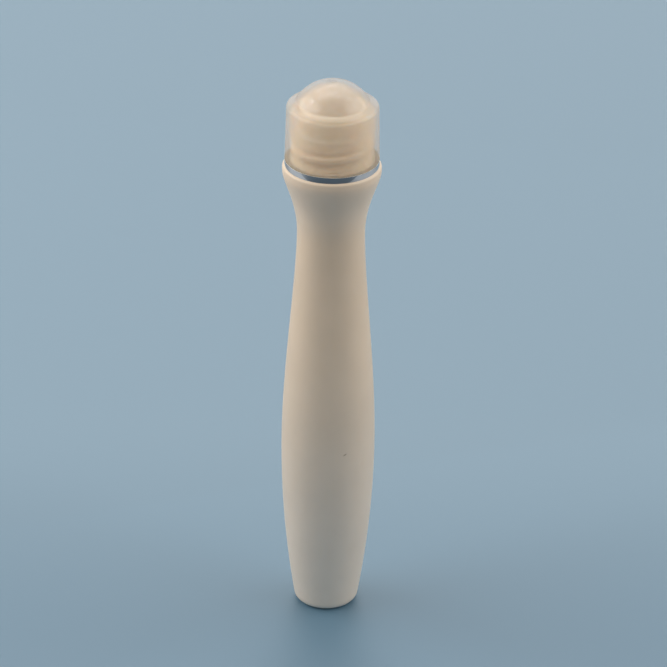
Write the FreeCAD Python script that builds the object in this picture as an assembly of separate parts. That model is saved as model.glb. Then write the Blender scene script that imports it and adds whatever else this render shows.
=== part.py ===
import FreeCAD, Part
import math
import os

# Roll-on bottle: a waisted bottle that stands upright, with a ball in its neck, a loose
# trim ring on its collar and a domed screw cap over the ball.
# Millimetres. The origin is the middle of the foot and +Z is the bottle's axis.

# Ball, from which the neck, the cap and the collar take their widths
ball_radius = 5.75
ball_clearance = 0.08
ball_rise = 4.15              # ball's centre above the neck's rim

# Body, from the foot up
foot_radius = 6.54            # at the corner, before it is rounded
foot_round = 1.6
standing_ring_width = 0.75    # flat ring that the bottle stands on
push_up_depth = 0.8
belly_radius = 9.72
belly_height = 38.0
waist_radius = 6.89
belly_to_waist = 48.9
waist_to_collar = 13.8        # up to the collar's widest level
collar_to_seat = 1.15         # from there to the face under the trim ring
collar_proud = 0.42           # collar beyond the trim ring
collar_round = 0.55
body_wall = 1.2
floor_wall = 1.3
hollow_round = 1.0            # corners of the hollow, at the floor and under the seat

# Shares of each rise over which the side keeps the direction it starts with
belly_hold = 0.36
waist_hold_below = 0.23
waist_hold_above = 0.49
collar_hold = 0.17

# Neck
neck_bore_step = 0.45         # neck's bore beyond the ball's radius
neck_wall = 1.2
neck_height = 6.85            # from the ring's seat to the rim
neck_rim_round = 0.25

# Screw thread, right-handed, outside on the neck and inside in the cap
thread_pitch = 2.44
thread_depth = 0.75
thread_flank_angle = 25.0
thread_axial_gap = 0.12       # taken off half a pitch to give a ridge's mean width
thread_radial_gap = 0.25      # neck's ridge to the cap's wall
thread_tip_gap = 0.2          # cap's ridge to the neck's wall
thread_root_sink = 0.2        # how far a ridge reaches into the wall that carries it
neck_thread_start = 2.45      # middle of the ridge's lower end, above the seat
neck_thread_start_angle = 32.0
neck_thread_end_margin = 1.1  # middle of the upper end, below the neck's rim
cap_thread_start = 0.85       # middle of the ridge's lower end, above the cap's rim

# Trim ring
ring_height = 1.25
ring_proud = 0.04             # ring beyond the cap's rim
ring_land_step = 0.1          # land under the ring, beyond the neck's ridge
ring_land_drop = 0.1          # land's top below the ring's top
ring_running_gap = 0.05
ring_edge_round = 0.06

# Ball housing
lip_above_centre = 1.7        # socket's upper edge above the ball's centre
lip_round = 0.35
socket_wall = 0.8
cup_wall = 1.0
flange_inset = 0.05           # flange's edge inside the neck's wall
flange_thickness = 0.9
flange_fillet = 0.35
plug_depth = 5.0
plug_wall = 0.9
plug_gap = 0.06               # plug's wall to the neck's bore
plug_lead_in = 0.35
seal_rib_radius = 0.3
seal_rib_squeeze = 0.04       # ribs pressed into the neck's bore
seal_rib_margin = 1.5         # ribs from the neck's rim and from the plug's lower end
seat_ring_width = 1.44        # ring under the ball, round the hole that feeds it

# Cap
cap_wall = 1.14
cap_taper = 0.28              # how much narrower the wall is at the shoulder than at the rim
cap_top_wall = 0.95
ball_headroom = 0.25          # cap's inner top above the ball
lip_headroom = 1.0            # foot of the dome above the housing's lip
shoulder_width = 1.83         # between the dome's foot and the cap's wall
shoulder_drop = 0.84
shoulder_round = 0.85
dome_fillet = 1.2
cap_rim_round = 0.18
cap_inner_round = 0.5
dome_inset = 0.12             # dome's foot inside the cap, in from the one outside
gate_mark_radius = 0.8
gate_mark_depth = 0.15

# Levels above the foot
waist_height = belly_height + belly_to_waist
collar_height = waist_height + waist_to_collar
seat_height = collar_height + collar_to_seat
neck_top = seat_height + neck_height
cap_rim = seat_height + ring_height
ball_centre = neck_top + ball_rise
ball_top = ball_centre + ball_radius
lip_height = ball_centre + lip_above_centre
flange_top = neck_top + flange_thickness
cap_inner_top = ball_top + ball_headroom
cap_top = cap_inner_top + cap_top_wall
dome_foot = lip_height + lip_headroom
shoulder_edge = dome_foot - shoulder_drop
floor_height = push_up_depth + floor_wall

# Radii, from the ball outwards
socket_radius = ball_radius + ball_clearance
neck_bore = ball_radius + neck_bore_step
neck_radius = neck_bore + neck_wall
neck_thread_radius = neck_radius + thread_depth
cap_thread_radius = neck_radius + thread_tip_gap
land_radius = neck_thread_radius + ring_land_step
ring_bore = land_radius + ring_running_gap
cap_bore = neck_thread_radius + thread_radial_gap
cap_rim_radius = cap_bore + cap_wall
cap_shoulder_radius = cap_rim_radius - cap_taper
ring_radius = cap_rim_radius + ring_proud
collar_radius = ring_radius + collar_proud
dome_foot_radius = cap_shoulder_radius - shoulder_width

# Room that a cut leaves beyond the piece it cuts
cut_over = 1.0

axis_point = FreeCAD.Vector(0, 0, 0)
axis_direction = FreeCAD.Vector(0, 0, 1)


def at(radius, height):
    """A point of an outline that is turned about the axis."""
    return FreeCAD.Vector(radius, 0, height)


def line(start, end):
    return Part.LineSegment(start, end).toShape()


def bend(*poles):
    """A smooth curve from the first pole to the last, pulled by those between."""
    curve = Part.BezierCurve()
    curve.setPoles(list(poles))
    return curve.toShape()


def run(*points):
    """Straight edges from point to point."""
    return [line(start, end) for start, end in zip(points, points[1:])]


def turned(edges):
    """The solid that a closed outline sweeps in one turn about the axis."""
    face = Part.Face(Part.Wire(edges))
    return face.revolve(axis_point, axis_direction, 360)


def disc(radius, low, high):
    return Part.makeCylinder(radius, high - low, at(0, low), axis_direction)


def ball(radius, height):
    return Part.makeSphere(radius, at(0, height))


def circles(shape, radius, height):
    """The round edges of a shape at one radius and one level."""
    found = []
    for edge in shape.Edges:
        if edge.Degenerated or not isinstance(edge.Curve, Part.Circle):
            continue
        same_radius = abs(edge.Curve.Radius - radius) < 1e-6
        same_height = abs(edge.Curve.Center.z - height) < 1e-6
        if same_radius and same_height:
            found.append(edge)
    return found


def rounded(shape, round_radius, radius, height):
    return shape.makeFillet(round_radius, circles(shape, radius, height))


def bevelled(shape, width, radius, height):
    return shape.makeChamfer(width, circles(shape, radius, height))


def side(inset, low, high):
    """The body's side from a low level to a high one, set in by a wall's thickness."""
    foot = at(foot_radius - inset, low)
    belly = at(belly_radius - inset, belly_height)
    waist = at(waist_radius - inset, waist_height)
    collar = at(collar_radius - inset, high)
    belly_start = at(belly.x, (low + belly_height) / 2)
    belly_end = at(belly.x, belly_height + belly_hold * belly_to_waist)
    waist_start = at(waist.x, waist_height - waist_hold_below * belly_to_waist)
    waist_end = at(waist.x, waist_height + waist_hold_above * (high - waist_height))
    collar_start = at(collar.x, high - collar_hold * (high - waist_height))
    return [
        bend(foot, belly_start, belly),
        bend(belly, belly_end, waist_start, waist),
        bend(waist, waist_end, collar_start, collar),
    ]


def ridge(wall_radius, tip_radius, rise, start_height, start_angle):
    """A thread's ridge between a wall and its tip, wound up the axis."""
    half_width = (thread_pitch / 2 - thread_axial_gap) / 2
    flank = math.tan(math.radians(thread_flank_angle))
    depth = abs(tip_radius - wall_radius)
    outward = math.copysign(1, tip_radius - wall_radius)
    root_radius = wall_radius - outward * thread_root_sink
    half_tip = half_width - flank * depth / 2
    half_root = half_width + flank * (depth / 2 + thread_root_sink)
    section = Part.Wire(run(
        at(root_radius, -half_root),
        at(tip_radius, -half_tip),
        at(tip_radius, half_tip),
        at(root_radius, half_root),
        at(root_radius, -half_root),
    ))
    helix = Part.Wire(Part.makeHelix(thread_pitch, rise, wall_radius))
    wound = helix.makePipeShell([section], True, True)
    wound.rotate(axis_point, axis_direction, start_angle)
    wound.translate(at(0, start_height))
    return wound


def make_bottle():
    foot_edge = at(foot_radius, 0)
    collar_edge = at(collar_radius, collar_height)
    seat_edge = at(collar_radius, seat_height)
    outline = run(at(0, 0), foot_edge)
    outline += side(0, 0, collar_height)
    outline += run(collar_edge, seat_edge, at(0, seat_height), at(0, 0))
    body = turned(outline)
    body = rounded(body, foot_round, foot_radius, 0)
    body = rounded(body, collar_round, collar_radius, seat_height)

    push_up_radius = foot_radius - foot_round - standing_ring_width
    dish_radius = (push_up_radius ** 2 + push_up_depth ** 2) / (2 * push_up_depth)
    body = body.cut(ball(dish_radius, push_up_depth - dish_radius))

    neck = disc(neck_radius, seat_height - body_wall, neck_top)
    neck = rounded(neck, neck_rim_round, neck_radius, neck_top)
    land = disc(land_radius, seat_height - body_wall, cap_rim - ring_land_drop)
    thread_rise = neck_height - neck_thread_start - neck_thread_end_margin
    thread = ridge(
        neck_radius,
        neck_thread_radius,
        thread_rise,
        seat_height + neck_thread_start,
        neck_thread_start_angle,
    )

    hollow_top = seat_height - body_wall
    hollow_outline = run(at(0, floor_height), at(foot_radius - body_wall, floor_height))
    hollow_outline += side(body_wall, floor_height, hollow_top)
    hollow_outline += run(
        at(collar_radius - body_wall, hollow_top),
        at(0, hollow_top),
        at(0, floor_height),
    )
    hollow = turned(hollow_outline)
    hollow = rounded(hollow, hollow_round, foot_radius - body_wall, floor_height)
    hollow = rounded(hollow, hollow_round, collar_radius - body_wall, hollow_top)
    bore = disc(neck_bore, hollow_top - cut_over, neck_top + cut_over)

    bottle = body.fuse([neck, land, thread])
    return bottle.cut([hollow, bore]).removeSplitter()


def make_trim_ring():
    ring = disc(ring_radius, seat_height, cap_rim)
    for height in (seat_height, cap_rim):
        ring = rounded(ring, ring_edge_round, ring_radius, height)
    return ring.cut(disc(ring_bore, seat_height - cut_over, cap_rim + cut_over))


def make_ball_housing():
    plug_radius = neck_bore - plug_gap
    plug_bottom = neck_top - plug_depth
    flange_radius = neck_radius - flange_inset
    socket_outer = socket_radius + socket_wall

    plug = disc(plug_radius, plug_bottom, flange_top)
    plug = bevelled(plug, plug_lead_in, plug_radius, plug_bottom)
    rib_circle = neck_bore + seal_rib_squeeze - seal_rib_radius
    ribs = []
    for height in (plug_bottom + seal_rib_margin, neck_top - seal_rib_margin):
        ribs.append(Part.makeTorus(rib_circle, seal_rib_radius, at(0, height), axis_direction))
    flange = disc(flange_radius, neck_top, flange_top)
    socket = disc(socket_outer, flange_top, lip_height)
    socket = rounded(socket, lip_round, socket_outer, lip_height)

    housing = plug.fuse(ribs + [flange, socket])
    housing = rounded(housing, flange_fillet, socket_outer, flange_top)

    plug_inside = plug_radius - plug_wall
    under_cup = disc(plug_inside, plug_bottom - cut_over, ball_centre)
    under_cup = under_cup.cut(ball(socket_radius + cup_wall, ball_centre))
    feed_hole = disc(plug_inside - seat_ring_width, plug_bottom, ball_centre)
    socket_hollow = ball(socket_radius, ball_centre)
    return housing.cut([under_cup, socket_hollow, feed_hole]).removeSplitter()


def dome_arc(foot, top):
    """An arc with its middle on the axis, from the dome's foot to its top."""
    height = top - foot.z
    radius = (foot.x ** 2 + height ** 2) / (2 * height)
    half_way = math.atan2(foot.x, radius - height) / 2
    middle = at(radius * math.sin(half_way), top - radius + radius * math.cos(half_way))
    return Part.Arc(foot, middle, at(0, top)).toShape()


def make_cap():
    dome_edge = at(dome_foot_radius, dome_foot)
    outline = run(
        at(0, cap_rim),
        at(cap_rim_radius, cap_rim),
        at(cap_shoulder_radius, shoulder_edge),
        dome_edge,
    )
    outline.append(dome_arc(dome_edge, cap_top))
    outline.append(line(at(0, cap_top), at(0, cap_rim)))
    shell = turned(outline)
    shell = rounded(shell, shoulder_round, cap_shoulder_radius, shoulder_edge)
    shell = rounded(shell, dome_fillet, dome_foot_radius, dome_foot)
    shell = rounded(shell, cap_rim_round, cap_rim_radius, cap_rim)

    inner_shoulder = shoulder_edge - cap_top_wall
    inner_edge = at(dome_foot_radius - dome_inset, inner_shoulder)
    inside_outline = run(
        at(0, cap_rim - cut_over),
        at(cap_bore, cap_rim - cut_over),
        at(cap_bore, inner_shoulder),
        inner_edge,
    )
    inside_outline.append(dome_arc(inner_edge, cap_inner_top))
    inside_outline.append(line(at(0, cap_inner_top), at(0, cap_rim - cut_over)))
    inside = turned(inside_outline)
    inside = rounded(inside, cap_inner_round, cap_bore, inner_shoulder)

    # The cap's ridge lies half a pitch under the neck's, at every angle
    thread_start = cap_rim + cap_thread_start
    neck_start = seat_height + neck_thread_start
    turns_up = (thread_start + thread_pitch / 2 - neck_start) / thread_pitch
    thread_rise = neck_top - neck_thread_end_margin - thread_start
    thread = ridge(
        cap_bore,
        cap_thread_radius,
        thread_rise,
        thread_start,
        neck_thread_start_angle + 360 * turns_up,
    )

    mark_ball = (gate_mark_radius ** 2 + gate_mark_depth ** 2) / (2 * gate_mark_depth)
    gate_mark = ball(mark_ball, cap_top - gate_mark_depth + mark_ball)
    return shell.cut([inside, gate_mark]).fuse(thread).removeSplitter()


pieces = {
    "bottle": make_bottle(),
    "trim_ring": make_trim_ring(),
    "ball_housing": make_ball_housing(),
    "roller_ball": ball(ball_radius, ball_centre),
    "cap": make_cap(),
}

os.makedirs("parts", exist_ok=True)
for name, shape in pieces.items():
    shape.exportStep("parts/" + name + ".step")
    print(name, "solids", len(shape.Solids), "valid", shape.isValid(), "volume", round(shape.Volume, 2))
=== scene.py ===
import math

import bmesh
import bpy
from mathutils import Matrix, Vector
from mathutils.geometry import interpolate_bezier


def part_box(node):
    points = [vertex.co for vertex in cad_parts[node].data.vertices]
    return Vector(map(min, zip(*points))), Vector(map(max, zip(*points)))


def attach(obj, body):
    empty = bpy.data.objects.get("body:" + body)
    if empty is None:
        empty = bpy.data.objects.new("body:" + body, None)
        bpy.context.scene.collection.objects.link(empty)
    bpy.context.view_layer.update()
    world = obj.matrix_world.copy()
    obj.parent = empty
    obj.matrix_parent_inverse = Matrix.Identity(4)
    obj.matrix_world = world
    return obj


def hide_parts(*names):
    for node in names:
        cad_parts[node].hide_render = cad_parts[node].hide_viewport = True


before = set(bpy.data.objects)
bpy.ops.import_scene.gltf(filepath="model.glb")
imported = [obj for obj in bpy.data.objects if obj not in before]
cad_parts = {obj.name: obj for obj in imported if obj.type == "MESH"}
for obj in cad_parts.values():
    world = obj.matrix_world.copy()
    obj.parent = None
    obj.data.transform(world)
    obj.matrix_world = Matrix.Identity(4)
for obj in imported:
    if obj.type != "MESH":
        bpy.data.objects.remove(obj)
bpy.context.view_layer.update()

mm = 0.001
fullTurn = 2 * math.pi
weld = 0.0005 * mm            # points closer than this become one
sharpAngle = math.radians(35)
print("frame loaded:", ", ".join(sorted(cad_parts)))


class Value:
    # one output socket; sums on it add Math nodes
    def __init__(self, graph, socket):
        self.graph = graph
        self.socket = socket

    def out(self, name):
        return Value(self.graph, self.socket.node.outputs[name])

    def math(self, operation, *given):
        return self.graph.math(operation, self, *given)

    def __add__(self, other):
        return self.graph.math("ADD", self, other)

    def __radd__(self, other):
        return self.graph.math("ADD", other, self)

    def __sub__(self, other):
        return self.graph.math("SUBTRACT", self, other)

    def __rsub__(self, other):
        return self.graph.math("SUBTRACT", other, self)

    def __mul__(self, other):
        return self.graph.math("MULTIPLY", self, other)

    def __rmul__(self, other):
        return self.graph.math("MULTIPLY", other, self)

    def __truediv__(self, other):
        return self.graph.math("DIVIDE", self, other)

    def __rtruediv__(self, other):
        return self.graph.math("DIVIDE", other, self)


class Graph:
    def __init__(self, tree):
        self.tree = tree

    def add(self, kind, settings=None, sockets=None, out=0):
        # settings first, because they decide which sockets there are
        node = self.tree.nodes.new(kind)
        for name, setting in (settings or {}).items():
            setattr(node, name, setting)
        for name, given in (sockets or {}).items():
            socket = self.find(node.inputs, name)
            if isinstance(given, Value):
                self.tree.links.new(given.socket, socket)
            else:
                socket.default_value = given
        return Value(self, self.find(node.outputs, out)) if len(node.outputs) else None

    def find(self, sockets, name):
        if isinstance(name, int):
            return [socket for socket in sockets if socket.enabled][name]
        for socket in sockets:
            if socket.enabled and name in (socket.identifier, socket.name):
                return socket
        raise KeyError(name)

    def math(self, operation, *given):
        return self.add("ShaderNodeMath", {"operation": operation}, dict(enumerate(given)))

    def mix(self, share, first, second, blend="MIX"):
        return self.add(
            "ShaderNodeMix",
            {"data_type": "RGBA", "blend_type": blend},
            {"Factor_Float": share, "A_Color": first, "B_Color": second},
        )

    def between(self, value, low, high, toLow=0.0, toHigh=1.0):
        return self.add(
            "ShaderNodeMapRange",
            {"interpolation_type": "SMOOTHSTEP"},
            {"Value": value, "From Min": low, "From Max": high, "To Min": toLow, "To Max": toHigh},
        )

    def noise(self, place, scale, detail=2.0):
        return self.add("ShaderNodeTexNoise", {}, {"Vector": place, "Scale": scale, "Detail": detail})

    def stretched(self, place, scale):
        return self.add("ShaderNodeMapping", {"vector_type": "POINT"}, {"Vector": place, "Scale": scale})

    def awayFrom(self, place, spot):
        return self.add(
            "ShaderNodeVectorMath", {"operation": "DISTANCE"}, {0: place, 1: spot}, "Value"
        )

    def bump(self, height, strength, depth):
        return self.add(
            "ShaderNodeBump", {}, {"Height": height, "Strength": strength, "Distance": depth}
        )


def newFinish(name, fixed):
    # a Principled surface; fixed holds the sockets that are the same all over
    finish = bpy.data.materials.new(name)
    finish.use_nodes = True
    finish.node_tree.nodes.clear()
    graph = Graph(finish.node_tree)
    surface = graph.add("ShaderNodeBsdfPrincipled", {}, fixed)
    graph.add("ShaderNodeOutputMaterial", {}, {"Surface": surface})
    place = graph.add("ShaderNodeTexCoord", {}, {}, "Object")
    return finish, graph, surface.socket.node, place


def feed(node, links):
    for name, value in links.items():
        value.graph.tree.links.new(value.socket, node.inputs[name])


def srgb(red, green, blue):
    # 0 to 255 as a picture shows it
    def linear(share):
        return share / 12.92 if share <= 0.04045 else ((share + 0.055) / 1.055) ** 2.4
    return tuple(linear(channel / 255) for channel in (red, green, blue)) + (1.0,)


def shade(colour, factor):
    return tuple(channel * factor for channel in colour[:3]) + (1.0,)


def mottled(graph, cloud, colour, darkest):
    return graph.mix(graph.between(cloud, 0.3, 0.7), shade(colour, darkest), shade(colour, 1.02))


def sweepTree(name, wound):
    # carries the points of an outline round the axis, a row for each point
    tree = bpy.data.node_groups.new(name, "GeometryNodeTree")
    inputs = [("Outline", "Geometry"), ("Steps", "Int"), ("Turns", "Float")]
    if wound:
        inputs += [(label, "Float") for label in ("Root", "Foot", "Climb", "Start", "Fade")]
    for label, kind in inputs + [("Finish", "Material")]:
        tree.interface.new_socket(label, in_out="INPUT", socket_type="NodeSocket" + kind)
    tree.interface.new_socket("Shape", in_out="OUTPUT", socket_type="NodeSocketGeometry")
    graph = Graph(tree)
    given = graph.add("NodeGroupInput")
    steps = given.out("Steps")
    columns = steps + 1
    points = graph.add(
        "GeometryNodeAttributeDomainSize", {"component": "MESH"}, {"Geometry": given}, "Point Count"
    )
    grid = graph.add("GeometryNodeMeshGrid", {}, {"Vertices X": points, "Vertices Y": columns})
    index = graph.add("GeometryNodeInputIndex")
    row = ((index + 0.5) / columns).math("FLOOR")
    along = (index - row * columns) / steps
    spot = graph.add(
        "GeometryNodeSampleIndex",
        {"data_type": "FLOAT_VECTOR", "domain": "POINT"},
        {"Geometry": given, "Value": graph.add("GeometryNodeInputPosition"), "Index": row},
    )
    across = graph.add("ShaderNodeSeparateXYZ", {}, {"Vector": spot}, "X")
    up = across.out("Z")
    angle = along * given.out("Turns") * fullTurn
    if wound:
        # a ridge climbs as it turns, and sinks into its wall at both ends
        toEnd = along.math("MINIMUM", 1 - along)
        size = graph.between(toEnd / given.out("Fade"), 0.0, 1.0)
        across = given.out("Root") + across * size
        up = given.out("Foot") + up * size + given.out("Climb") * along
        angle = angle + given.out("Start")
    place = graph.add(
        "ShaderNodeCombineXYZ",
        {},
        {"X": across * angle.math("COSINE"), "Y": across * angle.math("SINE"), "Z": up},
    )
    turned = graph.add("GeometryNodeSetPosition", {}, {"Geometry": grid, "Position": place})
    merged = graph.add("GeometryNodeMergeByDistance", {}, {"Geometry": turned, "Distance": weld})
    whole = graph.add("GeometryNodeRealizeInstances", {}, {"Geometry": merged})
    dressed = graph.add(
        "GeometryNodeSetMaterial", {}, {"Geometry": whole, "Material": given.out("Finish")}
    )
    graph.add("NodeGroupOutput", {}, {"Shape": dressed})
    return tree


turnedTree = sweepTree("turnedShape", False)
woundTree = sweepTree("woundRidge", True)


def rounded(corners, steps=6):
    # corners are (radius, height) or (radius, height, rounding)
    path = []
    for number, corner in enumerate(corners):
        spot = Vector(corner[:2])
        if len(corner) < 3:
            path.append(spot)
            continue
        before = (Vector(corners[number - 1][:2]) - spot).normalized()
        after = (Vector(corners[(number + 1) % len(corners)][:2]) - spot).normalized()
        half = before.angle(after) / 2
        centre = spot + (before + after).normalized() * (corner[2] / math.sin(half))
        first = spot + before * (corner[2] / math.tan(half)) - centre
        final = spot + after * (corner[2] / math.tan(half)) - centre
        bend = math.pi - 2 * half
        for step in range(steps + 1):
            share = step / steps
            part = first * math.sin((1 - share) * bend) + final * math.sin(share * bend)
            path.append(centre + part / math.sin(bend))
    return path


def arc(centreHeight, radius, start, end, steps):
    # part of a circle whose middle is on the axis; angles from straight up
    path = []
    for step in range(steps + 1):
        angle = start + (end - start) * step / steps
        path.append((radius * math.sin(angle), centreHeight + radius * math.cos(angle)))
    return path


def bezier(poles, steps):
    knots = [Vector((radius, height)) for radius, height in poles]
    return [tuple(spot)[:2] for spot in interpolate_bezier(*knots, steps + 1)]


def outline(name, path, closed=False):
    spots = [(spot[0] * mm, 0.0, spot[1] * mm) for spot in path]
    if closed:
        spots.append(spots[0])
    mesh = bpy.data.meshes.new(name)
    mesh.from_pydata(spots, [(i, i + 1) for i in range(len(spots) - 1)], [])
    shape = bpy.data.objects.new(name, mesh)
    bpy.context.scene.collection.objects.link(shape)
    return shape


def sweep(shape, tree, values):
    modifier = shape.modifiers.new(tree.name, "NODES")
    modifier.node_group = tree
    for item in tree.interface.items_tree:
        if item.in_out == "INPUT" and item.name in values:
            modifier[item.identifier] = values[item.name]
    return shape


def unite(shape, other):
    modifier = shape.modifiers.new("unite", "BOOLEAN")
    modifier.operation = "UNION"
    modifier.solver = "EXACT"
    modifier.object = other


def settle(shape, finish):
    # what the modifiers give becomes a plain mesh of the piece's own
    bpy.context.view_layer.update()
    ready = shape.evaluated_get(bpy.context.evaluated_depsgraph_get())
    mesh = bpy.data.meshes.new_from_object(ready)
    shape.modifiers.clear()
    wire = shape.data
    shape.data = mesh
    bpy.data.meshes.remove(wire)
    mesh.name = shape.name
    work = bmesh.new()
    work.from_mesh(mesh)
    bmesh.ops.remove_doubles(work, verts=work.verts, dist=weld)
    bmesh.ops.recalc_face_normals(work, faces=work.faces)
    work.to_mesh(mesh)
    work.free()
    mesh.materials.clear()
    mesh.materials.append(finish)
    mesh.polygons.foreach_set("material_index", [0] * len(mesh.polygons))
    mesh.shade_smooth()
    mesh.set_sharp_from_angle(angle=sharpAngle)
    return shape


def handOver(shape, body, node):
    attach(shape, body)
    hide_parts(node)
    print(shape.name, "made:", len(shape.data.polygons), "faces")


def levels(node):
    # lowest and highest level of a node, and the radius that stays in its box, in mm
    low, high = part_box(node)
    return low.z / mm, high.z / mm, min(high.x, high.y, -low.x, -low.y) / mm


bottleFoot, neckTop, collarRadius = levels("bottle")
seat, capRim, ringRadius = levels("trim_ring")
plugBottom, lip, flangeRadius = levels("ball_housing")
ballLow, ballHigh, ballRadius = levels("roller_ball")
capTop, capRadius = levels("cap")[1:]
ballCentre = (ballLow + ballHigh) / 2

thread = {
    "pitch": 2.44,
    "depth": 0.75,
    "flank": 25.0,        # degrees
    "sink": 0.2,          # into the wall that carries the ridge
    "meanWidth": 1.1,
    "tipRound": 0.12,
    "fade": 0.09,         # share of the length over which an end shrinks away
    "stepsPerTurn": 72,
}


def ridge(name, wall, outward, depth, foot, startAngle, climb, finish):
    slope = math.tan(math.radians(thread["flank"]))
    tip = thread["meanWidth"] / 2 - slope * depth / 2
    root = thread["meanWidth"] / 2 + slope * (depth / 2 + thread["sink"])
    reach = outward * (depth + thread["sink"])
    corners = [
        (0, -root),
        (reach, -tip, thread["tipRound"]),
        (reach, tip, thread["tipRound"]),
        (0, root),
    ]
    turns = climb / thread["pitch"]
    return sweep(outline(name, rounded(corners, 3), True), woundTree, {
        "Steps": int(turns * thread["stepsPerTurn"]),
        "Turns": turns,
        "Root": (wall - outward * thread["sink"]) * mm,
        "Foot": foot * mm,
        "Climb": climb * mm,
        "Start": math.radians(startAngle),
        "Fade": thread["fade"],
        "Finish": finish,
    })


# bottle

bottle = {
    "ivory": srgb(220, 196, 168),
    "paintedCoolFoot": srgb(215, 196, 174),      # painted cool bounce light: the ivory greys towards the foot
    # painted light on the collar's flare, lighter and warmer
    "paintedLightCollar": srgb(229, 205, 178),
    "paintedCoolReach": (12, 72),
    "paintedLightReach": (86, 94),
    "footRadius": 6.54,
    "footRound": 1.6,
    "dishRadius": 4.19,
    "dishDepth": 0.8,
    "belly": (9.72, 38.0),
    "waist": (6.89, 86.9),
    "collar": 100.7,
    "holds": (0.36, 0.23, 0.49, 0.17),    # reach of the curve's handles, as shares of its rise
    "collarRound": 0.55,
    "landRadius": 8.25,
    "landDrop": 0.1,
    "neckRadius": 7.40,
    "boreRadius": 6.20,
    "wall": 1.2,
    "floor": 2.1,
    "hollowRound": 1.0,
    "threadFoot": 2.45,       # above the seat
    "threadMargin": 1.1,      # below the rim
    "threadAngle": 32.0,
    "paintedLightNeck": srgb(238, 222, 194),      # painted light: the neck above the seat is lighter, brightening the cap wall seen through
    "speck": (3.55, -9.04, 39.8),
    "speckLength": 0.5,
    "speckTilt": 32.0,        # degrees
    "speckBrown": srgb(140, 110, 84),
    "dustScale": 260.0,
    "dustShare": 0.14,        # of the places where a mote could lie
    "cloudScale": 90.0,
    "flowScale": (520.0, 520.0, 26.0),
    "grainScale": 5200.0,
    "landRound": 0.12,
    "neckRound": 0.15,
    "rimRound": 0.25,
    "dishSteps": 10,
    "sideSteps": (20, 30, 24),        # foot to belly, to waist, to collar
    "steps": 128,             # round the axis
}


def ivoryFinish(colour):
    finish, graph, surface, where = newFinish("ivorySatin", {
        "IOR": 1.49,
        "Subsurface Weight": 0.12,
        "Subsurface Radius": (1.0, 0.75, 0.5),
        "Subsurface Scale": 0.8 * mm,
    })
    up = graph.add("ShaderNodeSeparateXYZ", {}, {"Vector": where}, "Z")
    pale, light = ([level * mm for level in bottle[key]] for key in ("paintedCoolReach", "paintedLightReach"))
    # painted light by height: cool bounce light towards the foot
    tone = graph.mix(graph.between(up, *pale), bottle["paintedCoolFoot"], colour)
    # painted light: the collar's flare lighter and warmer
    tone = graph.mix(graph.between(up, *light), tone, bottle["paintedLightCollar"])
    cloud = graph.noise(where, bottle["cloudScale"], 3.0)
    flow = graph.noise(graph.stretched(where, bottle["flowScale"]), 1.0)
    grain = graph.noise(where, bottle["grainScale"])
    white = (1.0, 1.0, 1.0)
    tone = graph.mix(1.0, tone, mottled(graph, cloud, white, 0.975), "MULTIPLY")
    streak = graph.between(flow, 0.35, 0.75, 0.0, 0.12)
    tone = graph.mix(streak, tone, shade(white, 0.93), "MULTIPLY")
    dust = graph.add("ShaderNodeTexVoronoi", {}, {"Vector": where, "Scale": bottle["dustScale"]})
    picked = graph.add("ShaderNodeSeparateColor", {}, {"Color": dust.out("Color")})
    chosen = picked.math("GREATER_THAN", 1 - bottle["dustShare"])
    motes = graph.between(dust, 0.022, 0.035, 1.0, 0.0) * chosen
    tone = graph.mix(motes * 0.3, tone, shade(colour, 0.45))
    # one longer speck, measured across and along its own lie
    fromSpeck = graph.add(
        "ShaderNodeVectorMath",
        {"operation": "SUBTRACT"},
        {0: where, 1: Vector(bottle["speck"]) * mm},
    )
    lie = graph.add(
        "ShaderNodeVectorRotate",
        {"rotation_type": "Y_AXIS"},
        {"Vector": fromSpeck, "Angle": math.radians(bottle["speckTilt"])},
    )
    fromMiddle = graph.awayFrom(graph.stretched(lie, (0.4, 0.4, 1.0)), (0.0, 0.0, 0.0))
    mark = graph.between(fromMiddle, 0.05 * mm, bottle["speckLength"] / 2 * mm, 0.6, 0.0)
    tone = graph.mix(mark, tone, bottle["speckBrown"])
    # painted light: above the seat the neck turns lighter
    bare = graph.between(up, (seat + 0.3) * mm, (seat + 0.5) * mm)
    tone = graph.mix(bare, tone, bottle["paintedLightNeck"])
    rough = 0.36 + cloud * 0.10 + grain * 0.05
    relief = graph.bump(grain * 0.8 + flow * 0.5, 0.22, 0.03 * mm)
    feed(surface, {"Base Color": tone, "Roughness": rough, "Normal": relief})
    return finish


def bottleSide(inset, low, high):
    # foot to belly, belly to waist, waist to collar
    bellyRadius, bellyHeight = bottle["belly"]
    waistRadius, waistHeight = bottle["waist"]
    hold = bottle["holds"]
    steps = bottle["sideSteps"]
    foot = (bottle["footRadius"] - inset, low)
    belly = (bellyRadius - inset, bellyHeight)
    waist = (waistRadius - inset, waistHeight)
    top = (collarRadius - inset, high)
    rise = waistHeight - bellyHeight
    # the first stretch is bent by one pole half way up
    pole = (belly[0], (low + bellyHeight) / 2)
    third = [tuple(a + (b - a) * 2 / 3 for a, b in zip(end, pole)) for end in (foot, belly)]
    path = bezier((foot, third[0], third[1], belly), steps[0])
    path += bezier((
        belly,
        (belly[0], bellyHeight + hold[0] * rise),
        (waist[0], waistHeight - hold[1] * rise),
        waist,
    ), steps[1])[1:]
    path += bezier((
        waist,
        (waist[0], waistHeight + hold[2] * (high - waistHeight)),
        (top[0], high - hold[3] * (high - waistHeight)),
        top,
    ), steps[2])[1:]
    return path


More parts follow.
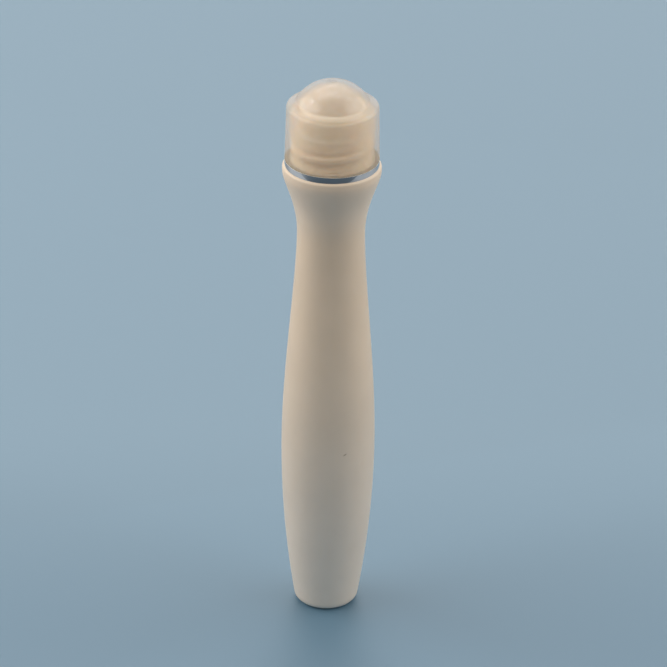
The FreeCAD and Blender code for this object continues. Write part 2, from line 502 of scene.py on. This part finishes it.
def makeBottle():
    finish = ivoryFinish(bottle["ivory"])
    dish = (bottle["dishRadius"] ** 2 + bottle["dishDepth"] ** 2) / (2 * bottle["dishDepth"])
    dishEdge = math.asin(bottle["dishRadius"] / dish)
    path = arc(bottle["dishDepth"] - dish, dish, 0.0, dishEdge, bottle["dishSteps"])
    outside = bottleSide(0, bottleFoot, bottle["collar"])
    hollowTop = seat - bottle["wall"]
    inside = bottleSide(bottle["wall"], bottle["floor"], hollowTop)
    corners = path + [outside[0] + (bottle["footRound"],)] + outside[1:]
    corners += [
        (collarRadius, seat, bottle["collarRound"]),
        (bottle["landRadius"], seat),
        (bottle["landRadius"], capRim - bottle["landDrop"], bottle["landRound"]),
        (bottle["neckRadius"], capRim - bottle["landDrop"], bottle["neckRound"]),
        (bottle["neckRadius"], neckTop, bottle["rimRound"]),
        (bottle["boreRadius"], neckTop, bottle["neckRound"]),
        (bottle["boreRadius"], hollowTop, bottle["neckRound"]),
        inside[-1] + (bottle["hollowRound"],),
    ]
    corners += inside[-2:0:-1] + [inside[0] + (bottle["hollowRound"],), (0, bottle["floor"])]
    shape = sweep(outline("bottle_body_ivory", rounded(corners)), turnedTree, {
        "Steps": bottle["steps"], "Turns": 1.0, "Finish": finish,
    })
    foot = seat + bottle["threadFoot"]
    climb = neckTop - bottle["threadMargin"] - foot
    wound = ridge(
        "neckThread", bottle["neckRadius"], 1, thread["depth"],
        foot, bottle["threadAngle"], climb, finish,
    )
    unite(shape, wound)
    settle(shape, finish)
    bpy.data.objects.remove(wound)
    handOver(shape, "bottle_body", "bottle")


# trim ring

ring = {
    "bright": (0.80, 0.82, 0.84, 1.0),
    "bore": 8.30,
    "bare": srgb(238, 228, 208),      # end faces
    "bareRough": 0.42,        # added to the roughness there
    "edgeRound": 0.03,
    "boreRound": 0.06,
    "lineScale": (60.0, 60.0, 9000.0),        # fine lines round the band
    "hazeScale": 420.0,
    "steps": 160,
}


def brightFinish(colour):
    finish, graph, surface, where = newFinish("brightMetal", {"IOR": 1.5})
    lines = graph.noise(graph.stretched(where, ring["lineScale"]), 1.0)
    haze = graph.noise(where, ring["hazeScale"], 3.0)
    tone = graph.mix(graph.between(haze, 0.35, 0.75), colour, shade(colour, 0.93))
    rough = 0.05 + lines * 0.05 + graph.between(haze, 0.5, 0.8) * 0.04
    # the end faces are left bare, pale and dull
    up = graph.add("ShaderNodeSeparateXYZ", {}, {"Vector": where}, "Z")
    fromEnd = (up - seat * mm).math("MINIMUM", capRim * mm - up)
    bare = graph.between(fromEnd, 0.015 * mm, 0.03 * mm, 1.0, 0.0)
    tone = graph.mix(bare, tone, ring["bare"])
    rough = rough + bare * ring["bareRough"]
    relief = graph.bump(lines, 0.05, 0.01 * mm)
    feed(surface, {"Base Color": tone, "Metallic": 1 - bare, "Roughness": rough, "Normal": relief})
    return finish


def makeRing():
    finish = brightFinish(ring["bright"])
    # its upper edge lies flush with the cap
    corners = [
        (ring["bore"], seat, ring["boreRound"]),
        (ringRadius, seat, ring["edgeRound"]),
        (min(ringRadius, capRadius), capRim, ring["edgeRound"]),
        (ring["bore"], capRim, ring["boreRound"]),
    ]
    shape = sweep(outline("trim_ring_bright", rounded(corners), True), turnedTree, {
        "Steps": ring["steps"], "Turns": 1.0, "Finish": finish,
    })
    settle(shape, finish)
    handOver(shape, "ring", "trim_ring")


# ball housing

housing = {
    "natural": srgb(238, 227, 206),
    "plugRadius": 6.14,
    "plugInside": 5.24,
    "leadIn": 0.35,
    "ribRadius": 0.3,
    "ribCircle": 5.94,
    "ribMargin": 1.5,
    "flangeTop": 0.9,         # above the neck's rim
    "flangeFillet": 0.35,
    "socketOuter": 6.63,
    "socketInner": 5.83,
    "lipRound": 0.35,
    "cupWall": 1.0,
    "feedHole": 3.8,
    "plugRound": 0.1,
    "flangeRound": (0.1, 0.15),       # lower and upper edge
    "cloudScale": 240.0,
    "grainScale": 6000.0,
    "ribSteps": 8,
    "socketSteps": 24,
    "cupSteps": 6,
    "steps": 112,
}


def naturalFinish(colour):
    finish, graph, surface, where = newFinish("naturalPlastic", {
        "IOR": 1.50,
        "Subsurface Weight": 0.3,
        "Subsurface Radius": (1.0, 0.85, 0.6),
        "Subsurface Scale": 1.2 * mm,
    })
    cloud = graph.noise(where, housing["cloudScale"], 3.0)
    grain = graph.noise(where, housing["grainScale"])
    tone = mottled(graph, cloud, colour, 0.96)
    rough = 0.30 + cloud * 0.12 + grain * 0.05
    relief = graph.bump(grain, 0.15, 0.02 * mm)
    feed(surface, {"Base Color": tone, "Roughness": rough, "Normal": relief})
    return finish


def makeHousing():
    finish = naturalFinish(housing["natural"])
    plug, inside = housing["plugRadius"], housing["plugInside"]
    inner, outer = housing["socketInner"], housing["socketInner"] + housing["cupWall"]
    hole, flangeTop = housing["feedHole"], neckTop + housing["flangeTop"]
    corners = [
        (inside, plugBottom, housing["plugRound"]),
        (plug - housing["leadIn"], plugBottom),
        (plug, plugBottom + housing["leadIn"]),
    ]
    swell = math.acos((plug - housing["ribCircle"]) / housing["ribRadius"])
    for height in (plugBottom + housing["ribMargin"], neckTop - housing["ribMargin"]):
        for step in range(housing["ribSteps"] + 1):
            angle = -swell + 2 * swell * step / housing["ribSteps"]
            corners.append((
                housing["ribCircle"] + housing["ribRadius"] * math.cos(angle),
                height + housing["ribRadius"] * math.sin(angle),
            ))
    corners += [
        (plug, neckTop),
        (flangeRadius, neckTop, housing["flangeRound"][0]),
        (flangeRadius, flangeTop, housing["flangeRound"][1]),
        (housing["socketOuter"], flangeTop, housing["flangeFillet"]),
        (housing["socketOuter"], lip, housing["lipRound"]),
    ]
    # the socket from its lip down to the feed hole, and back along the underside of the cup
    lipAngle = math.acos((lip - ballCentre) / inner)
    holeAngle = math.pi - math.asin(hole / inner)
    corners += arc(ballCentre, inner, lipAngle, holeAngle, housing["socketSteps"])
    underAngle = math.pi - math.asin(hole / outer)
    wallAngle = math.pi - math.asin(inside / outer)
    corners += arc(ballCentre, outer, underAngle, wallAngle, housing["cupSteps"])
    shape = sweep(outline("ball_housing_natural", rounded(corners), True), turnedTree, {
        "Steps": housing["steps"], "Turns": 1.0, "Finish": finish,
    })
    settle(shape, finish)
    handOver(shape, "bottle_body", "ball_housing")


# roller ball

ball = {
    "pale": srgb(214, 203, 188),
    "cloudScale": 300.0,
    "swirlScale": (900.0, 2600.0, 900.0),
    "cuts": 24,               # along each edge of the cube that is blown up
}


def polishedFinish(colour):
    finish, graph, surface, where = newFinish("polishedBall", {"IOR": 1.50, "Coat Roughness": 0.04})
    centred = graph.add(
        "ShaderNodeMapping",
        {"vector_type": "POINT"},
        {"Vector": where, "Location": (0.0, 0.0, -ballCentre * mm)},
    )
    cloud = graph.noise(centred, ball["cloudScale"], 3.0)
    swirl = graph.noise(graph.stretched(centred, ball["swirlScale"]), 1.0)
    tone = mottled(graph, cloud, colour, 0.97)
    rough = 0.12 + cloud * 0.06 + graph.between(swirl, 0.55, 0.8) * 0.06
    relief = graph.bump(swirl, 0.04, 0.01 * mm)
    feed(surface, {"Base Color": tone, "Roughness": rough, "Normal": relief})
    return finish


def makeBall():
    finish = polishedFinish(ball["pale"])
    mesh = bpy.data.meshes.new("roller_ball_pale")
    work = bmesh.new()
    bmesh.ops.create_cube(work, size=2.0)
    bmesh.ops.subdivide_edges(work, edges=work.edges, cuts=ball["cuts"], use_grid_fill=True)
    for vert in work.verts:
        # even spacing over the faces of the cube before it is blown up round
        even = Vector(math.tan(channel * math.pi / 4) for channel in vert.co)
        vert.co = even.normalized() * ballRadius * mm + Vector((0, 0, ballCentre * mm))
    work.to_mesh(mesh)
    work.free()
    shape = bpy.data.objects.new("roller_ball_pale", mesh)
    bpy.context.scene.collection.objects.link(shape)
    settle(shape, finish)
    handOver(shape, "ball", "roller_ball")


# cap

cap = {
    "frost": srgb(255, 227, 200),
    "wallVeil": 0.36,         # how much of the light one face holds back
    "domeVeil": 0.25,
    "bore": 8.40,
    "shoulder": (9.26, 114.71, 0.85),
    "domeFoot": (7.43, 115.55, 1.2),
    "domeTop": 119.80,
    "markRadius": 0.8,
    "markDepth": 0.15,
    "rimRound": 0.03,
    "innerShoulder": 113.76,
    "innerDomeFoot": 7.31,
    "innerTop": 118.85,
    "innerRound": 0.5,
    "threadTip": 7.60,
    "threadFoot": 0.85,       # above the rim
    "markRound": 0.1,
    "markRings": (0.0, 0.18, 0.36, 0.54),
    "markClear": 0.3,         # before the dome's own points go on
    "boreRound": 0.12,
    "cloudScale": 160.0,
    "grainScale": 4200.0,
    "domeSteps": (24, 20),    # outside and inside
    "steps": 144,
}


def frostFinish(colour):
    finish, graph, surface, where = newFinish("frostedCap", {
        "IOR": 1.49,
        "Specular IOR Level": 0.75,
        "Subsurface Weight": 1.0,
        "Subsurface Radius": (1.0, 0.9, 0.75),
        "Subsurface Scale": 0.8 * mm,
    })
    cloud = graph.noise(where, cap["cloudScale"], 3.0)
    grain = graph.noise(where, cap["grainScale"])
    tone = mottled(graph, cloud, colour, 0.97)
    up = graph.add("ShaderNodeSeparateXYZ", {}, {"Vector": where}, "Z")
    shoulder, foot = cap["innerShoulder"] * mm, cap["domeFoot"][1] * mm
    veil = graph.between(up, shoulder, foot, cap["wallVeil"], cap["domeVeil"])
    veil = veil * (0.94 + cloud * 0.12)
    rough = 0.18 + cloud * 0.06 + grain * 0.04
    relief = graph.bump(grain, 0.15, 0.02 * mm)
    feed(surface, {"Base Color": tone, "Roughness": rough, "Alpha": veil, "Normal": relief})
    return finish


def domeArc(foot, height, top, steps):
    rise = top - height
    radius = (foot ** 2 + rise ** 2) / (2 * rise)
    return arc(top - radius, radius, 0.0, math.asin(foot / radius), steps)


def makeCap():
    finish = frostFinish(cap["frost"])
    outerSteps, innerSteps = cap["domeSteps"]
    footRadius, footHeight, footFillet = cap["domeFoot"]
    dome = domeArc(footRadius, footHeight, cap["domeTop"], outerSteps)
    # the round mark is a shallow hollow, part of a ball
    curve = (cap["markRadius"] ** 2 + cap["markDepth"] ** 2) / (2 * cap["markDepth"])
    markFloor = cap["domeTop"] - cap["markDepth"]
    corners = [(r, markFloor + curve - math.sqrt(curve ** 2 - r ** 2)) for r in cap["markRings"]]
    markRise = capTop - markFloor
    markEdge = math.sqrt(markRise * (2 * curve - markRise))
    corners.append((markEdge, capTop, cap["markRound"]))
    corners += [spot for spot in dome[:-1] if spot[0] > markEdge + cap["markClear"]]
    corners += [
        (footRadius, footHeight, footFillet),
        cap["shoulder"],
        (capRadius, capRim, cap["rimRound"]),
        (cap["bore"], capRim, cap["boreRound"]),
        (cap["bore"], cap["innerShoulder"], cap["innerRound"]),
    ]
    inner = domeArc(cap["innerDomeFoot"], cap["innerShoulder"], cap["innerTop"], innerSteps)
    corners += inner[::-1]
    shape = sweep(outline("cap_frosted", rounded(corners)), turnedTree, {
        "Steps": cap["steps"], "Turns": 1.0, "Finish": finish,
    })
    foot = capRim + cap["threadFoot"]
    climb = neckTop - bottle["threadMargin"] - foot
    turnsUp = (foot + thread["pitch"] / 2 - seat - bottle["threadFoot"]) / thread["pitch"]
    wound = ridge(
        "capThread", cap["bore"], -1, cap["bore"] - cap["threadTip"],
        foot, bottle["threadAngle"] + 360 * turnsUp, climb, finish,
    )
    unite(shape, wound)
    settle(shape, finish)
    bpy.data.objects.remove(wound)
    handOver(shape, "cap", "cap")


makeBottle()
makeRing()
makeHousing()
makeBall()
makeCap()


# floor, light and camera

studio = {
    "paper": srgb(103, 130, 146),
    "paperNear": srgb(82, 113, 131),      # the light falls off towards the front
    "nearReach": (-20, 75),
    "fadeReach": (420, 820),      # where the floor gives way to the backdrop
    "paperGlow": srgb(84, 139, 178),      # what the sheet throws back on the bottle
    "tableFront": srgb(52, 62, 70),
    "tableSide": srgb(116, 120, 124),
    "paperFront": 126,        # from the bottle's axis to the sheet's front edge
    "paperSide": 150,
    "paperTurn": 8.6,         # degrees that the sheet lies askew
    "floorSize": 3000,        # from the axis to each edge
    "backdrop": srgb(150, 171, 185),
    "ambient": 0.48,
    "aim": (0, 0, 60),
    # how far round from the camera, how high up, how far off, size, watts
    "lamps": {
        "left": (-96, 30, 750, (800, 420), 4.6),
        "right": (93, 30, 750, (900, 420), 3.45),
        "back": (180, 20, 900, (900, 600), 2.3),
        "gloss": (180, 72, 600, (760, 380), 2.6),
    },
}


def makeFloor():
    size = studio["floorSize"] * mm
    mesh = bpy.data.meshes.new("floor")
    spots = [(-size, -size, 0), (size, -size, 0), (size, size, 0), (-size, size, 0)]
    mesh.from_pydata(spots, [], [(0, 1, 2, 3)])
    floor = bpy.data.objects.new("floor", mesh)
    bpy.context.scene.collection.objects.link(floor)
    finish, graph, surface, where = newFinish("floorPaper", {"Roughness": 0.5, "Specular IOR Level": 1.0})
    away = graph.add("ShaderNodeSeparateXYZ", {}, {"Vector": where}, "Y")
    near, far = ([reach * mm for reach in studio[key]] for key in ("nearReach", "fadeReach"))
    paper = graph.mix(graph.between(away, *near), studio["paperNear"], studio["paper"])
    # the sheet of paper ends on a darker table, which only reflections and soft light show
    turned = graph.add(
        "ShaderNodeMapping",
        {"vector_type": "POINT"},
        {"Vector": where, "Rotation": (0.0, 0.0, math.radians(studio["paperTurn"]))},
    )
    across = graph.add("ShaderNodeSeparateXYZ", {}, {"Vector": turned}, "X")
    front, side = studio["paperFront"] * mm, studio["paperSide"] * mm
    beside = graph.between(across.math("ABSOLUTE"), side, side + mm)
    before = graph.between(across.out("Y"), -front - mm, -front, 1.0, 0.0)
    rays = graph.add("ShaderNodeLightPath", {}, {}, "Is Camera Ray")
    sheet = graph.mix(rays.out("Is Glossy Ray"), studio["paperGlow"], paper)
    ground = graph.mix(before, graph.mix(beside, sheet, studio["tableSide"]), studio["tableFront"])
    faded = graph.between(graph.awayFrom(where, (0.0, 0.0, 0.0)), *far) * rays
    feed(surface, {"Base Color": graph.mix(rays, ground, paper), "Alpha": 1 - faded})
    mesh.materials.append(finish)


def makeWorld():
    world = bpy.data.worlds.new("studio")
    world.use_nodes = True
    world.node_tree.nodes.clear()
    graph = Graph(world.node_tree)
    rays = graph.add("ShaderNodeLightPath", {}, {}, "Is Camera Ray")
    mirrored = rays.out("Is Glossy Ray").math("MAXIMUM", rays.out("Is Transmission Ray"))
    seen = rays.math("MAXIMUM", mirrored)
    soft = shade((1.0, 1.0, 1.0), studio["ambient"])
    sky = graph.add("ShaderNodeBackground", {}, {"Color": graph.mix(seen, soft, studio["backdrop"])})
    graph.add("ShaderNodeOutputWorld", {}, {"Surface": sky})
    bpy.context.scene.world = world


def makeLamps():
    aim = Vector(studio["aim"])
    for name, (bearing, height, away, size, power) in studio["lamps"].items():
        turn, lift = math.radians(bearing), math.radians(height)
        flat = math.cos(lift)
        ahead = Vector((math.sin(turn) * flat, -math.cos(turn) * flat, math.sin(lift)))
        light = bpy.data.lights.new(name, "AREA")
        light.shape = "RECTANGLE"
        light.size, light.size_y = size[0] * mm, size[1] * mm
        light.energy = power
        lamp = bpy.data.objects.new(name, light)
        lamp.location = (aim + away * ahead) * mm
        lamp.rotation_euler = ahead.to_track_quat("Z", "Y").to_euler()
        lamp.visible_camera = False
        lamp.visible_diffuse = name != "gloss"      # that one only shows as a highlight
        bpy.context.scene.collection.objects.link(lamp)


view = {
    "spot": (0.0, -598.4, 382.2),
    "lens": 178.1,
    "sensor": 36.0,
    "clip": (10, 20000),
    "pitch": 28.05,           # degrees, as are yaw and roll
    "yaw": 0.078,
    "roll": 0.866,
}


def makeCamera():
    pitch, yaw, roll = (math.radians(view[key]) for key in ("pitch", "yaw", "roll"))
    flat = math.cos(pitch)
    ahead = Vector((math.sin(yaw) * flat, math.cos(yaw) * flat, -math.sin(pitch)))
    right = Vector((math.cos(yaw), -math.sin(yaw), 0.0))
    up = right.cross(ahead)
    turnedRight = math.cos(roll) * right + math.sin(roll) * up
    turnedUp = math.cos(roll) * up - math.sin(roll) * right
    data = bpy.data.cameras.new("camera")
    data.lens = view["lens"]
    data.sensor_width = view["sensor"]
    data.clip_start, data.clip_end = (reach * mm for reach in view["clip"])
    camera = bpy.data.objects.new("camera", data)
    camera.matrix_world = Matrix((turnedRight, turnedUp, -ahead)).transposed().to_4x4()
    camera.location = Vector(view["spot"]) * mm
    bpy.context.scene.collection.objects.link(camera)
    bpy.context.scene.camera = camera


makeFloor()
makeWorld()
makeLamps()
makeCamera()
bpy.context.scene.view_settings.view_transform = "Standard"
print("studio made:", len(studio["lamps"]), "lamps")
